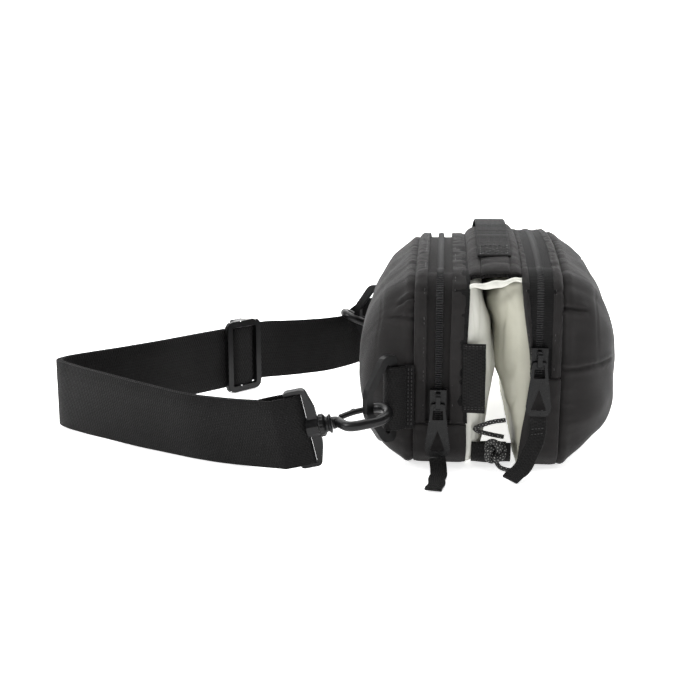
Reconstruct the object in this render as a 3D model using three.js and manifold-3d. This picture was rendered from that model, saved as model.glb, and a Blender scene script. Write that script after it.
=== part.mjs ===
// A belt-worn throw rope bag: two padded zipped halves joined by a top bridge, with a rope sleeve
// between them, and a webbing waist strap clipped to two triangle rings.
// Units are millimetres, +Z is up, +Y runs along the bag and the strap loop lies on the -X side.
import * as THREE from 'three';
import Module from 'manifold-3d';
import { mergeVertices } from 'three/addons/utils/BufferGeometryUtils.js';

const wasm = await Module();
wasm.setup();

// ---- Driving dimensions ----
const bagLength = 245;
const endHeight = 127;
const crownRise = 10;
const baseCorner = 12;
const topCorner = 22;
const wall = 3;
const gap = 0.3;
const backHalf = { inner: -13, seam: -47.5, outer: -86, split: 30, zip: -31.5, slider: 47 };
const frontHalf = { inner: 21, seam: 47, outer: 88, split: 62, zip: 33, slider: 76 };
const domeInset = 46;
const domeDrop = 5;
const outlineStations = 90;
const webbing = { width: 50, thickness: 1.6 };
const ring = { height: 28, halfBar: 29, band: 6, thickness: 4 };
const hook = { eyeRadius: 10.5, tube: 3.3, eyeLength: 21, swivelStart: 26.5, frameStart: 35, frameEnd: 53 };
const frame = { halfWidth: 28, thickness: 4, bar: 50.5, boss: 6.5 };
const nearEnd = {
  bar: new THREE.Vector3(-62, -128, 48),
  heading: 230,
  eye: new THREE.Vector3(-73.5, -143.8, 40),
  shank: new THREE.Vector3(-0.98, -0.05, -0.205).normalize(),
  roll: -0.2,
  leanFull: 70,
  leanReach: 200,
};
const farEnd = {
  bar: new THREE.Vector3(-86, 128, 56),
  heading: 150,
  eye: new THREE.Vector3(-108.1, 140.8, 54),
  shank: new THREE.Vector3(0.87, 0.34, -0.38).normalize(),
  roll: 0.1,
  leanFull: 25,
  leanReach: 70,
};
const strapCentre = 26;
const originX = (backHalf.inner + backHalf.seam) / 2;

// ---- Colours ----
const colours = {
  softshell: 0x3c3a3a,
  cream: 0xe1e1d7,
  webbing: 0x232323,
  plastic: 0x141414,
  metal: 0x1a1a1c,
  tape: 0x262626,
  coil: 0x1c1c1c,
  cord: 0x151515,
};
const finishes = {
  plastic: { roughness: 0.35, metalness: 0 },
  metal: { roughness: 0.3, metalness: 0.9 },
};

const root = new THREE.Group();
root.position.x = -originX;

function addMesh(name, geometry, look, parent = root) {
  const finish = finishes[look] ?? { roughness: 0.9, metalness: 0 };
  const mesh = new THREE.Mesh(geometry, new THREE.MeshStandardMaterial({ color: colours[look], ...finish }));
  mesh.name = name;
  parent.add(mesh);
  return mesh;
}

// ---- Solid helpers ----
// Joins rings of equal point count into one closed solid, and turns it outward.
function loft(rings, closed = false) {
  const count = rings[0].length;
  const points = rings.flat();
  const triangles = [];
  const spans = closed ? rings.length : rings.length - 1;
  for (let i = 0; i < spans; i += 1) {
    const next = ((i + 1) % rings.length) * count;
    for (let j = 0; j < count; j += 1) {
      const k = (j + 1) % count;
      triangles.push([i * count + j, i * count + k, next + k]);
      triangles.push([i * count + j, next + k, next + j]);
    }
  }
  if (!closed) {
    const last = (rings.length - 1) * count;
    for (let j = 1; j < count - 1; j += 1) {
      triangles.push([0, j + 1, j]);
      triangles.push([last, last + j, last + j + 1]);
    }
  }
  return outwardSolid(points, triangles);
}

function outwardSolid(points, triangles) {
  const normal = new THREE.Vector3();
  let volume = 0;
  for (const [a, b, c] of triangles) {
    volume += normal.crossVectors(points[b], points[c]).dot(points[a]);
  }
  const order = volume < 0 ? triangles.map(([a, b, c]) => [a, c, b]) : triangles;
  const geometry = new THREE.BufferGeometry();
  geometry.setAttribute('position', new THREE.Float32BufferAttribute(points.flatMap((p) => [p.x, p.y, p.z]), 3));
  geometry.setIndex(order.flat());
  geometry.computeVertexNormals();
  return geometry;
}

function toManifold(geometry) {
  const bare = geometry.clone();
  bare.deleteAttribute('normal');
  bare.deleteAttribute('uv');
  const merged = mergeVertices(bare, 1e-4);
  return new wasm.Manifold(new wasm.Mesh({
    numProp: 3,
    vertProperties: merged.getAttribute('position').array,
    triVerts: Uint32Array.from(merged.getIndex().array),
  }));
}

function joined(geometries) {
  const result = geometries.map(toManifold).reduce((whole, piece) => whole.add(piece)).getMesh();
  const geometry = new THREE.BufferGeometry();
  geometry.setAttribute('position', new THREE.BufferAttribute(Float32Array.from(result.vertProperties), 3));
  geometry.setIndex(Array.from(result.triVerts));
  geometry.computeVertexNormals();
  return geometry;
}

// A closed outline with each corner rounded by the same radius.
function roundedOutline(corners, radius, Kind = THREE.Shape) {
  const outline = new Kind();
  corners.forEach((corner, i) => {
    const point = new THREE.Vector2(...corner);
    const before = new THREE.Vector2(...corners[(i + corners.length - 1) % corners.length]);
    const after = new THREE.Vector2(...corners[(i + 1) % corners.length]);
    const start = point.clone().add(before.sub(point).setLength(radius));
    const end = point.clone().add(after.sub(point).setLength(radius));
    if (i === 0) {
      outline.moveTo(start.x, start.y);
    } else {
      outline.lineTo(start.x, start.y);
    }
    outline.quadraticCurveTo(point.x, point.y, end.x, end.y);
  });
  outline.closePath();
  return outline;
}

function plate(outline, thickness, curveSegments = 3) {
  const geometry = new THREE.ExtrudeGeometry(outline, { depth: thickness, bevelEnabled: false, curveSegments });
  geometry.translate(0, 0, -thickness / 2);
  return geometry;
}

function tube(points, radius, sides, steps) {
  const section = new THREE.Shape();
  for (let i = 0; i < sides; i += 1) {
    const angle = (i / sides) * Math.PI * 2;
    const [x, y] = [radius * Math.cos(angle), radius * Math.sin(angle)];
    if (i === 0) {
      section.moveTo(x, y);
    } else {
      section.lineTo(x, y);
    }
  }
  section.closePath();
  const extrudePath = new THREE.CatmullRomCurve3(points, false, 'centripetal');
  return new THREE.ExtrudeGeometry(section, { steps, extrudePath, bevelEnabled: false, curveSegments: 1 });
}

// A flat ribbon that stands on edge along a route, leaning with the up vector given at each step.
function ribbon(route, steps, width, thickness, upAt = () => new THREE.Vector3(0, 0, 1)) {
  const rings = [];
  for (let i = 0; i <= steps; i += 1) {
    const t = i / steps;
    const centre = route.getPointAt(t);
    const up = upAt(t).normalize();
    const side = new THREE.Vector3().crossVectors(route.getTangentAt(t), up).setLength(thickness / 2);
    const half = up.setLength(width / 2);
    rings.push([
      centre.clone().add(side).add(half),
      centre.clone().add(side).sub(half),
      centre.clone().sub(side).sub(half),
      centre.clone().sub(side).add(half),
    ]);
  }
  return loft(rings);
}

// ---- Bag halves ----
// The half's outline in the Y-Z plane. It starts on the near end at the split height, runs down,
// along the base, up the far end to the split, over the crown and back down the near end.
function halfOutline(split) {
  const end = bagLength / 2;
  const outline = new THREE.Path();
  outline.moveTo(-end, split);
  outline.lineTo(-end, baseCorner);
  outline.absarc(-end + baseCorner, baseCorner, baseCorner, Math.PI, 1.5 * Math.PI, false);
  outline.lineTo(end - baseCorner, 0);
  outline.absarc(end - baseCorner, baseCorner, baseCorner, 1.5 * Math.PI, 2 * Math.PI, false);
  outline.lineTo(end, split);
  outline.lineTo(end, endHeight - topCorner);
  outline.absarc(end - topCorner, endHeight - topCorner, topCorner, 0, 0.5 * Math.PI, false);
  outline.quadraticCurveTo(0, endHeight + 2 * crownRise, -end + topCorner, endHeight);
  outline.absarc(-end + topCorner, endHeight - topCorner, topCorner, 0.5 * Math.PI, Math.PI, false);
  outline.lineTo(-end, split);
  return outline;
}

// Where the base band ends and the zip panel begins, as a fraction of the outline.
function splitFraction(outline, split) {
  const base = 2 * (split - baseCorner) + Math.PI * baseCorner + bagLength - 2 * baseCorner;
  return base / outline.getLength();
}

// A band that follows part of the outline, from x0 to x1, with its faces at two offsets from it.
// All bands turn at the same stations, so those that lie on each other stay parallel.
function outlineBand(outline, from, to, x0, x1, low, high) {
  const stations = [from];
  for (let i = Math.floor(from * outlineStations) + 1; i < to * outlineStations; i += 1) {
    stations.push(i / outlineStations);
  }
  stations.push(to);
  const rings = stations.map((t) => {
    const point = outline.getPoint(t);
    const tangent = outline.getTangent(Math.min(Math.max(t, 0.0002), 0.9998));
    const at = (x, offset) => new THREE.Vector3(x, point.x + tangent.y * offset, point.y - tangent.x * offset);
    return [at(x0, low), at(x1, low), at(x1, high), at(x0, high)];
  });
  return loft(rings);
}

// One outline level of a dome or cushion: shrunk towards a centre height by an inset.
function level(outline, count, x, inset, centre = endHeight / 2) {
  const scaleY = 1 - inset / (bagLength / 2);
  const scaleZ = 1 - inset / (endHeight / 2);
  return Array.from({ length: count }, (_, i) => {
    const point = outline.getPoint(i / count);
    return new THREE.Vector3(x, point.x * scaleY, centre + (point.y - endHeight / 2) * scaleZ);
  });
}

function outerPanel(half) {
  const outline = halfOutline(half.split);
  const depth = half.outer - half.seam;
  const side = Math.sign(depth);
  const skin = (thickness, steps) => Array.from({ length: steps + 1 }, (_, i) => {
    const angle = (i / steps) * 0.5 * Math.PI;
    const x = half.seam + (depth - side * thickness) * Math.sin(angle);
    const fall = 1 - Math.cos(angle);
    return level(outline, 32, x, thickness + (domeInset - thickness) * fall, endHeight / 2 - domeDrop * fall);
  });
  return loft([...skin(wall, 4).reverse(), ...skin(0, 5)]);
}

// The sleeve cushion bulges from the half's inner edge; the bulge sits high, so a gap opens below.
function sleeveCushion(half, reach) {
  const outline = halfOutline(half.split);
  const start = half.inner - Math.sign(half.outer - half.seam) * gap;
  const depth = reach - start;
  const stages = [[0, 0.5, 0], [0.35, 3, 1.5], [0.65, 9, 5], [0.88, 19, 11], [1, 33, 18]];
  return loft(stages.map(([part, inset, rise]) => level(outline, 30, start + depth * part, inset,
    endHeight / 2 + rise)));
}

function makeHalf(name, half, reach, parent) {
  const outline = halfOutline(half.split);
  const split = splitFraction(outline, half.split);
  const side = Math.sign(half.outer - half.seam);
  const seam = half.seam - side * gap;
  const seamStep = 0.0006;
  addMesh(`${name}_outer_panel`, outerPanel(half), 'softshell', parent);
  const base = outlineBand(outline, 0, split - seamStep, seam, half.inner, 0, -wall);
  addMesh(`${name}_base_panel`, base, 'softshell', parent);
  const top = outlineBand(outline, split + seamStep, 1 - seamStep, seam, half.inner, 0, -wall);
  addMesh(`${name}_zip_panel`, top, 'softshell', parent);
  addMesh(`${name}_sleeve_cushion`, sleeveCushion(half, reach), 'cream', parent);
  const zipStart = split + 0.13;
  const tape = outlineBand(outline, zipStart, 1 - seamStep, half.zip - 8.5, half.zip + 8.5, gap, gap + 0.9);
  addMesh(`${name}_zip_tape`, tape, 'tape', parent);
  const coil = outlineBand(outline, zipStart + 0.006, 0.995, half.zip - 2.7, half.zip + 2.7, 1.5, 3.6);
  addMesh(`${name}_zip_coil`, coil, 'coil', parent);
}

// ---- Zip slider and puller ----
// The slider straddles the coil on the near end; its arch holds the puller plate's eye.
const sliderFace = -bagLength / 2 - 1.5;
const pullerDrop = 6.3;

function makeSlider(name, half, parent) {
  const section = new THREE.Shape();
  const corners = [[-5.4, 0], [-5.4, -5.6], [5.4, -5.6], [5.4, 0], [3.1, 0], [3.1, -2.5], [-3.1, -2.5], [-3.1, 0]];
  corners.forEach(([x, y], i) => (i === 0 ? section.moveTo(x, y) : section.lineTo(x, y)));
  section.closePath();
  const body = plate(section, 14);
  const arch = roundedOutline([[-5.5, -1], [5.5, -1], [5.5, 5], [-5.5, 5]], 2.2);
  arch.holes.push(roundedOutline([[-3.6, 1.4], [3.6, 1.4], [3.6, 3.6], [-3.6, 3.6]], 0.9, THREE.Path));
  const archPlate = plate(arch, 3);
  archPlate.rotateY(Math.PI / 2);
  archPlate.rotateX(Math.PI);
  archPlate.translate(0, -5.6, 0);
  const slider = joined([body, archPlate]);
  slider.translate(half.zip, sliderFace, half.slider);
  addMesh(`${name}_slider`, slider, 'metal', parent);
}

function makePuller(name, half, tailPoints, parent) {
  const eyeY = sliderFace - 5.6 - 2.5;
  const outline = roundedOutline([[4.5, 4.6], [-4.5, 4.6], [-8.3, -26], [-6, -31], [6, -31], [8.3, -26]], 1.5);
  outline.holes.push(roundedOutline([[-2.9, 3.1], [2.9, 3.1], [3.7, -6], [-3.7, -6]], 0.8, THREE.Path));
  outline.holes.push(roundedOutline([[0, -13], [5, -27], [-5, -27]], 0.6, THREE.Path));
  const puller = plate(outline, 1.2, 2);
  puller.rotateX(Math.PI / 2);
  puller.translate(half.zip, eyeY, half.slider - pullerDrop);
  addMesh(`${name}_puller_plate`, puller, 'metal', parent);
  const route = new THREE.CatmullRomCurve3(tailPoints.map(([x, y, z]) => new THREE.Vector3(x, y, z)));
  const across = () => new THREE.Vector3(1, 0, 0);
  addMesh(`${name}_puller_tail`, ribbon(route, 12, 11, 1.4, across), 'webbing', parent);
}

// ---- Rings, tabs and hooks ----
function ringPlate() {
  const { height, halfBar, band } = ring;
  const rim = band / 2;
  const outer = [[-rim, -halfBar], [9, -halfBar], [height - rim, -8], [height - rim, 8], [9, halfBar], [-rim, halfBar]];
  const inside = height - rim - band;
  const hole = [[rim, -halfBar + band], [6, -halfBar + band], [inside, -6], [inside, 6], [6, halfBar - band],
    [rim, halfBar - band]];
  const outline = roundedOutline(outer, 4.5);
  outline.holes.push(roundedOutline(hole, 1.4, THREE.Path));
  const geometry = plate(outline, ring.thickness);
  geometry.rotateX(Math.PI / 2);
  return geometry;
}

// A webbing loop round the ring's bar; its tail lies on the side that faces the bag.
function tabLoop(tail, side) {
  const outer = 5.5;
  const [low, high] = [2.2, 5];
  const shape = new THREE.Shape();
  shape.moveTo(tail, high * side);
  shape.lineTo(tail, low * side);
  shape.lineTo(outer * Math.cos(Math.asin(low / outer)), low * side);
  const start = Math.asin(low / outer) * side;
  const end = (Math.asin(high / outer) - 2 * Math.PI) * side;
  shape.absarc(0, 0, outer, start, end, side > 0);
  shape.closePath();
  const hole = new THREE.Path();
  hole.absarc(0, 0, 4, 0, 2 * Math.PI, false);
  shape.holes.push(hole);
  return plate(shape, 43, 8);
}

function makeRing(name, { bar, heading }, tail, side) {
  const tab = addMesh(`${name}_ring_tab`, tabLoop(tail, side), 'webbing');
  tab.position.copy(bar);
  const mesh = addMesh(`${name}_ring`, ringPlate(), 'plastic');
  mesh.position.copy(bar);
  mesh.rotation.z = THREE.MathUtils.degToRad(heading);
}

// Across and up directions of a hook: its shank is its X axis and its roll turns it about the shank.
function hookAxes({ shank, roll }) {
  const level = new THREE.Vector3(0, 0, 1).cross(shank).normalize();
  const flat = level.applyAxisAngle(shank, roll);
  const up = new THREE.Vector3().crossVectors(shank, flat);
  return { flat, up };
}

function onShank(end, along, across) {
  return end.eye.clone().addScaledVector(end.shank, along).addScaledVector(hookAxes(end).flat, across);
}

function makeHook(name, end, gateSide) {
  const { flat, up } = hookAxes(end);
  const group = new THREE.Group();
  group.quaternion.setFromRotationMatrix(new THREE.Matrix4().makeBasis(end.shank, flat, up));
  group.position.copy(end.eye);
  root.add(group);
  const { eyeRadius, tube: radius, eyeLength, swivelStart, frameStart, frameEnd } = hook;
  const route = [[swivelStart, 0], [eyeLength + 2, 0], [eyeLength - 5, -eyeRadius], [5, -eyeRadius], [0, -eyeRadius]];
  for (let i = 1; i <= 8; i += 1) {
    const angle = -Math.PI / 2 - (i / 8) * Math.PI;
    route.push([eyeRadius * Math.cos(angle), eyeRadius * Math.sin(angle)]);
  }
  route.push([4, eyeRadius]);
  const points = route.map(([x, y]) => new THREE.Vector3(x, y * gateSide, 0));
  addMesh(`${name}_hook`, tube(points, radius, 8, 26), 'plastic', group);
  const gatePoints = [[4.6, eyeRadius], [12, eyeRadius - 1], [eyeLength + 1, 6]];
  const gateRoute = gatePoints.map(([x, y]) => new THREE.Vector3(x, y * gateSide, 0));
  addMesh(`${name}_gate`, tube(gateRoute, 1.9, 8, 6), 'plastic', group);
  const profile = [[0, 0], [6.2, 0], [6.2, 1.6], [5.2, 2.2], [5.2, 3.4], [6.2, 4], [7.4, 5], [7.4, 7.9], [0, 7.9]];
  const barrel = new THREE.LatheGeometry(profile.map(([r, h]) => new THREE.Vector2(r, h)), 12);
  barrel.rotateZ(-Math.PI / 2);
  barrel.translate(swivelStart + gap, 0, 0);
  addMesh(`${name}_swivel_barrel`, barrel, 'plastic', group);
  const { halfWidth, bar } = frame;
  const bossLength = 8;
  const outline = roundedOutline([[frameStart, -13], [frameStart + 4, -halfWidth], [frameEnd, -halfWidth],
    [frameEnd, halfWidth], [frameStart + 4, halfWidth], [frameStart, 13]], 3);
  const [low, high] = [frameStart + 6.5, bar - 2.5];
  outline.holes.push(roundedOutline([[low, -25.4], [high, -25.4], [high, 25.4], [low, 25.4]], 1, THREE.Path));
  const framePlate = plate(outline, frame.thickness);
  framePlate.rotateX(Math.PI / 2);
  const boss = new THREE.CylinderGeometry(frame.boss, frame.boss, bossLength, 16);
  boss.rotateZ(Math.PI / 2);
  boss.translate(frameStart + bossLength / 2, 0, 0);
  addMesh(`${name}_strap_frame`, joined([framePlate, boss]), 'plastic', group);
}

// ---- Centre: bridge, handle, hem, pull tab, bottom strip and shock cord ----
const crownY = bagLength / 2 - topCorner;
const crownHeight = (y) => endHeight + crownRise * Math.max(0, 1 - (y / crownY) ** 2);
const centreX = (backHalf.inner + frontHalf.inner) / 2;

function box(x0, x1, y0, y1, z0, z1) {
  const geometry = new THREE.BoxGeometry(x1 - x0, y1 - y0, z1 - z0);
  geometry.translate((x0 + x1) / 2, (y0 + y1) / 2, (z0 + z1) / 2);
  return geometry;
}

function makeCentre() {
  const outline = halfOutline(backHalf.split);
  const total = outline.getLength();
  const rise = endHeight - topCorner - backHalf.split + 0.5 * Math.PI * topCorner;
  const crownStart = splitFraction(outline, backHalf.split) + (rise - 12) / total;
  const crownEnd = 1 - (rise - 12) / total;
  const bridge = outlineBand(outline, crownStart, crownEnd, backHalf.inner + gap, frontHalf.inner - gap, 0.6, 3.4);
  addMesh('bridge_panel', bridge, 'softshell');
  const handlePoints = [];
  for (let i = 0; i <= 16; i += 1) {
    const y = -92 + i * 11.5;
    const lift = Math.abs(y) < 60 ? 6 * Math.cos((Math.PI * y) / 120) ** 2 : 0;
    handlePoints.push(new THREE.Vector3(centreX, y, crownHeight(y) + 4.8 + lift));
  }
  const handle = ribbon(new THREE.CatmullRomCurve3(handlePoints), 24, 25, webbing.thickness,
    () => new THREE.Vector3(1, 0, 0));
  addMesh('grab_handle', handle, 'webbing');
  const front = -bagLength / 2;
  addMesh('sleeve_hem', box(-6, 14, front + 0.2, front + 3, 119, 126), 'cream');
  addMesh('sleeve_pull_tab', box(-16, -1, front - 1.9, front - gap, 38, 85), 'webbing');
  const strip = outlineBand(outline, 13.3 / total, 82 / total, -9, 17, -1.5, -0.1);
  addMesh('bottom_strip', strip, 'softshell');
  const lace = [[13, 1.4, 33], [4, 1.2, 31.5], [-6, 1.4, 27.5], [-6, 1.4, 25.5], [4, 1.2, 23], [12, 1.4, 21.5]];
  const lacePoints = lace.map(([x, inward, z]) => new THREE.Vector3(x, front + inward, z));
  addMesh('shock_cord', tube(lacePoints, 1.5, 8, 30), 'cord');
  const knot = new THREE.SphereGeometry(4.5, 12, 8);
  knot.translate(centreX + 2, front - 5.2, 12);
  addMesh('cord_knot', knot, 'cord');
  const tailPoints = [[centreX + 2, front - 5.2, 5.6], [centreX + 4.5, front - 7, 3.2], [centreX + 9, front - 9, 2.1],
    [centreX + 13, front - 9.5, 1.9]];
  addMesh('cord_tail', tube(tailPoints.map((p) => new THREE.Vector3(...p)), 1.5, 8, 6), 'cord');
}

// ---- Strap ----
const slideStart = new THREE.Vector2(-232, 38.6);
const slideHeading = new THREE.Vector2(0.588, 0.809).normalize();
const slideHeight = 30.7;
const slideLength = 78;
const triglideAt = 50;
const triglideSize = { width: 38, halfHeight: 30 };
const layerGap = 2.4;

// The webbing's loop round a frame's bar: out along one face, round the bar and back on the other.
function barLoop(end, from, reach) {
  const radius = 3.4;
  const turn = frame.bar - 2.5;
  const points = [onShank(end, reach, from * radius), onShank(end, turn + 8, from * radius)];
  for (let i = 0; i <= 4; i += 1) {
    const angle = Math.PI * (0.5 + i / 4);
    points.push(onShank(end, turn + radius * Math.cos(angle), from * radius * Math.sin(angle)));
  }
  points.push(onShank(end, turn + 8, -from * radius));
  return points;
}

function slidePoint(distance) {
  const plan = slideStart.clone().addScaledVector(slideHeading, distance);
  return new THREE.Vector3(plan.x, plan.y, slideHeight);
}

// The outer layer's route, chosen by hand: from the near frame, round the fold, up to the far hook.
const strapRoute = [
  onShank(nearEnd, 62, 3.4),
  new THREE.Vector3(-168, -137, strapCentre - 1.5),
  new THREE.Vector3(-192, -128, strapCentre - 1.5),
  new THREE.Vector3(-213, -117.5, strapCentre - 1.3),
  new THREE.Vector3(-240, -102, strapCentre - 0.8),
  new THREE.Vector3(-268, -85, strapCentre),
  new THREE.Vector3(-296, -65, strapCentre),
  new THREE.Vector3(-313, -50.5, strapCentre),
  new THREE.Vector3(-317.5, -43, strapCentre),
  new THREE.Vector3(-315, -33, strapCentre),
  new THREE.Vector3(-300, -20, strapCentre + 1),
  new THREE.Vector3(-276, -4, strapCentre + 2.5),
  new THREE.Vector3(-254, 13, strapCentre + 4),
  ...[0, 26, 52, slideLength].map(slidePoint),
  new THREE.Vector3(-172, 117, strapCentre + 3),
  new THREE.Vector3(-153, 131, strapCentre + 2),
  new THREE.Vector3(-131, 146, strapCentre + 2),
  onShank(farEnd, 4, 19).setZ(31),
  onShank(farEnd, 30, 17),
  onShank(farEnd, 52, 15),
  onShank(farEnd, 74, 10.5),
];

function makeStrap() {
  const outer = new THREE.CatmullRomCurve3(strapRoute, false, 'centripetal');
  const outerPoints = outer.getSpacedPoints(64);
  const glide = slidePoint(triglideAt);
  const inner = [];
  for (let i = 2; i < outerPoints.length; i += 1) {
    const tangent = outerPoints[i].clone().sub(outerPoints[i - 1]).setZ(0).normalize();
    const inward = new THREE.Vector3(tangent.y, -tangent.x, 0);
    inner.push(outerPoints[i].clone().addScaledVector(inward, layerGap));
    if (outerPoints[i].distanceTo(glide) < 8) {
      break;
    }
  }
  const nearLoop = barLoop(nearEnd, -1, 68);
  const farLoop = barLoop(farEnd, 1, 66);
  farLoop.push(onShank(farEnd, 72, -3.4));
  const stations = [...inner.reverse(), ...nearLoop, ...outerPoints, ...farLoop];
  const rings = stations.map((centre, i) => {
    const tangent = stations[Math.min(i + 1, stations.length - 1)].clone().sub(stations[Math.max(i - 1, 0)]);
    tangent.normalize();
    const up = barLean(centre);
    const side = new THREE.Vector3().crossVectors(tangent, up).setLength(webbing.thickness / 2);
    const half = up.setLength(webbing.width / 2);
    return [
      centre.clone().add(side).add(half),
      centre.clone().add(side).sub(half),
      centre.clone().sub(side).sub(half),
      centre.clone().sub(side).add(half),
    ];
  });
  addMesh('strap_webbing', loft(rings), 'webbing');
}

// The webbing leans with a frame's bar close to it and stands upright elsewhere.
function barLean(point) {
  const up = new THREE.Vector3(0, 0, 1);
  for (const end of [nearEnd, farEnd]) {
    const distance = onShank(end, frame.bar, 0).distanceTo(point);
    const lean = (end.leanReach - distance) / (end.leanReach - end.leanFull);
    up.lerp(hookAxes(end).up, Math.min(1, Math.max(0, lean)));
  }
  return up.normalize();
}

// The tri-glide's rim lies on the inner face of the webbing and its centre bar behind it.
function makeTriglide() {
  const { width, halfHeight } = triglideSize;
  const [x, z, slot] = [width / 2, halfHeight, 25.4];
  const outline = roundedOutline([[-x, -z], [x, -z], [x, z], [-x, z]], 7);
  const inside = x - 5.5;
  outline.holes.push(roundedOutline([[-inside, -slot], [inside, -slot], [inside, slot], [-inside, slot]], 1.5,
    THREE.Path));
  const rim = plate(outline, 3.2);
  rim.rotateX(Math.PI / 2);
  rim.translate(0, -(layerGap + 2.7), 0);
  const bar = box(-3, 3, 1.2, 4, -z, z);
  const ends = [-1, 1].map((side) => box(-6, 6, -6, 4, side > 0 ? slot : -z, side > 0 ? z : -slot));
  const mesh = addMesh('triglide', joined([rim, bar, ...ends]), 'plastic');
  mesh.position.copy(slidePoint(triglideAt));
  mesh.rotation.z = slideHeading.angle();
}

makeHalf('back', backHalf, 3.7, root);
makeHalf('front', frontHalf, 4.3, root);
makeSlider('back', backHalf, root);
makeSlider('front', frontHalf, root);
makePuller('back', backHalf, [[-31.5, -132.1, 9.1], [-30.7, -134.5, 4.6], [-30.3, -141, 2.1], [-31, -155, 1.4],
  [-33, -174, 1.3]], root);
makePuller('front', frontHalf, [[33, -132.1, 38.1], [32.6, -135, 28], [28.5, -140, 16], [21, -147, 6],
  [15, -153, 2.2]], root);
makeRing('near', nearEnd, 19, 1);
makeRing('far', farEnd, 30, -1);
makeHook('near', nearEnd, -1);
makeHook('far', farEnd, 1);
makeCentre();
makeStrap();
makeTriglide();

export default root;
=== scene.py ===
"""Looks for the belt-worn throw rope bag: fabrics, webbing, zips, cords and hardware on the CAD frame."""
import bisect
import math
import bmesh
import bpy
from mathutils import Matrix, Vector, noise


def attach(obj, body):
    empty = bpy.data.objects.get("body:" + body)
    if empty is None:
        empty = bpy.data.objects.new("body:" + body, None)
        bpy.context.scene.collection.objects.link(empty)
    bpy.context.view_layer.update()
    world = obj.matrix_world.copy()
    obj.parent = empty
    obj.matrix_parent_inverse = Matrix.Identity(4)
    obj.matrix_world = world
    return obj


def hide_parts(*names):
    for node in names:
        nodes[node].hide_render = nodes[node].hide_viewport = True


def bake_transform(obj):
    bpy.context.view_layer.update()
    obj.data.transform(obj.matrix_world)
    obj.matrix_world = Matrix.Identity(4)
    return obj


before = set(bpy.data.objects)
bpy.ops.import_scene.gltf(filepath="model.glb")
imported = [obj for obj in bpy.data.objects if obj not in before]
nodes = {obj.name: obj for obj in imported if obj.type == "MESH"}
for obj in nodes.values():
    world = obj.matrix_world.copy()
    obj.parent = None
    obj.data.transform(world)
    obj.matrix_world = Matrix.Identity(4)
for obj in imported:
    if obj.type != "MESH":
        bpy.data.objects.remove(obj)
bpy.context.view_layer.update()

# ---- Driving dimensions, millimetres. X is 0 at the bridge's centre, as in the CAD part ----
MM = 0.001
ORIGIN = 30.25
HALF_LENGTH, END_HEIGHT, CROWN_RISE = 122.5, 127.0, 10.0
BASE_CORNER, TOP_CORNER = 12.0, 22.0
TAPE_HALF = 8.2
CENTRE = 4.0
UP, SIDEWAYS, NEARWARD = Vector((0, 0, 1)), Vector((1, 0, 0)), Vector((0, -1, 0))
# For each half: its edges in X, the height of its cross seams, its zip's X, the height where the zip stops at
# the far end, and the X its sleeve cushion bulges to. bow is how far the inner edge is pushed aside on the
# near end, at which height and over what width.
BACK = {"name": "back", "body": "root", "side": -1, "inner": -13.0, "seam": -47.5, "outer": -86.0,
        "split": 30.0, "zip": -31.5, "zip_stop": 121, "bow": (-1.6, 70, 36), "cushion": 7.2}
FRONT = {"name": "front", "body": "front_half", "side": 1, "inner": 21.0, "seam": 47.0, "outer": 88.0,
         "split": 62.0, "zip": 33.0, "zip_stop": 127, "bow": (7.6, 64, 40), "cushion": 4.3}


def to_frame(point):
    return Vector(((point[0] + ORIGIN) * MM, point[1] * MM, point[2] * MM))


def share(low, high, value):
    """How far a value is on its way from low to high, kept between 0 and 1."""
    return min(1.0, max(0.0, (value - low) / (high - low)))


def smooth_step(low, high, value):
    t = share(low, high, value)
    return t * t * (3 - 2 * t)


def bump(value, centre, width):
    return math.exp(-((value - centre) / width) ** 2)


def ripple(x, y=0.0, seed=0.0):
    """Smooth noise from -1 to 1."""
    return noise.noise(Vector((x, y, seed * 7.31 + 0.5)))


# ---- The half's outline in the Y-Z plane, measured from the middle of the base towards the near end ----
def corner(radius, z, start, angles):
    """Points on a quarter circle at the near end, clockwise from an angle in degrees."""
    turns = [math.radians(start - angle) for angle in angles]
    return [(radius - HALF_LENGTH + radius * math.cos(a), z + radius * math.sin(a)) for a in turns]


def outline_points():
    points = [(0.0, 0.0), (-(HALF_LENGTH - BASE_CORNER), 0.0)]
    points += corner(BASE_CORNER, BASE_CORNER, 270, [90 * i / 16 for i in range(1, 17)])
    points += corner(TOP_CORNER, END_HEIGHT - TOP_CORNER, 180, [90 * i / 24 for i in range(25)])
    reach = HALF_LENGTH - TOP_CORNER
    for i in range(1, 41):
        t = i / 80
        points.append((-reach * (1 - 2 * t), END_HEIGHT + 4 * CROWN_RISE * t * (1 - t)))
    return points + [(-y, z) for y, z in reversed(points[:-1])]


OUTLINE = outline_points()
STATIONS = [0.0]
for before, after in zip(OUTLINE, OUTLINE[1:]):
    STATIONS.append(STATIONS[-1] + math.dist(before, after))
ROUND = STATIONS[-1]


def near_height(z):
    """How far round the outline the near end's wall reaches this height."""
    return HALF_LENGTH - BASE_CORNER + 0.5 * math.pi * BASE_CORNER + z - BASE_CORNER


def far_height(z):
    return ROUND - near_height(z)


for half in (BACK, FRONT):
    half["zip_span"] = near_height(half["split"] + 0.6), far_height(half["zip_stop"])


def outline_at(s):
    i = min(len(OUTLINE) - 2, max(0, bisect.bisect_right(STATIONS, s) - 1))
    t = (s - STATIONS[i]) / (STATIONS[i + 1] - STATIONS[i])
    (y0, z0), (y1, z1) = OUTLINE[i], OUTLINE[i + 1]
    return y0 + (y1 - y0) * t, z0 + (z1 - z0) * t


def outward(s):
    y0, z0 = outline_at(max(0.0, s - 1.5))
    y1, z1 = outline_at(min(ROUND, s + 1.5))
    length = math.hypot(y1 - y0, z1 - z0)
    return (z0 - z1) / length, (y1 - y0) / length


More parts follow.
